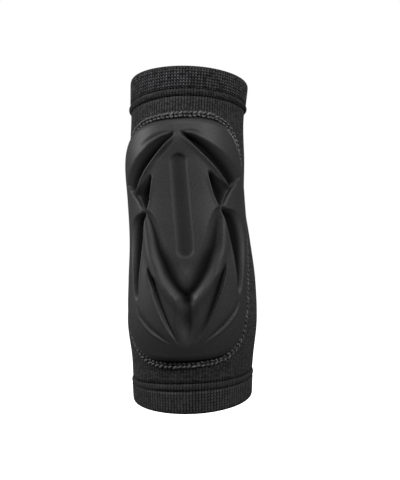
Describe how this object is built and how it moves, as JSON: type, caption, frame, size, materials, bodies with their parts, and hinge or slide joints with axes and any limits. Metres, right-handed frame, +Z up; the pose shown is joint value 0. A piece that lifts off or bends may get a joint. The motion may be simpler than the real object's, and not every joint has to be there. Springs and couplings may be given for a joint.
{
  "type": "knitted elbow guard with a moulded foam pad",
  "caption": "Ribbed elastic tube for the elbow with doubled cuffs at both ends and a sculpted foam pad stitched over the point of the elbow.",
  "frame": {"origin": "in the hollow of the sleeve, on the line of the arm that fills it, at half the sleeve's length; this is the mount arm that holds the guard up", "axes": "+Z up the sleeve towards the upper arm, -Y out of the hollow through the middle of the pad, +X across the guard"},
  "size_m": [0.0945, 0.103, 0.2485],
  "materials": {
    "rib_knit": "black elastic rib knit, matt, fine upright ribs",
    "cuff_knit": "black doubled rib knit, matt, a little more open than the sleeve",
    "pad_cover": "charcoal smooth brushed jersey bonded over moulded foam, soft satin",
    "stitch_thread": "dark grey overlock thread, slightly glossy"
  },
  "bodies": {
    "root": {"knit_sleeve": "rib_knit", "upper_cuff": "cuff_knit", "lower_cuff": "cuff_knit", "elbow_pad": "pad_cover", "stitch_band": "stitch_thread"}
  },
  "joints": []
}
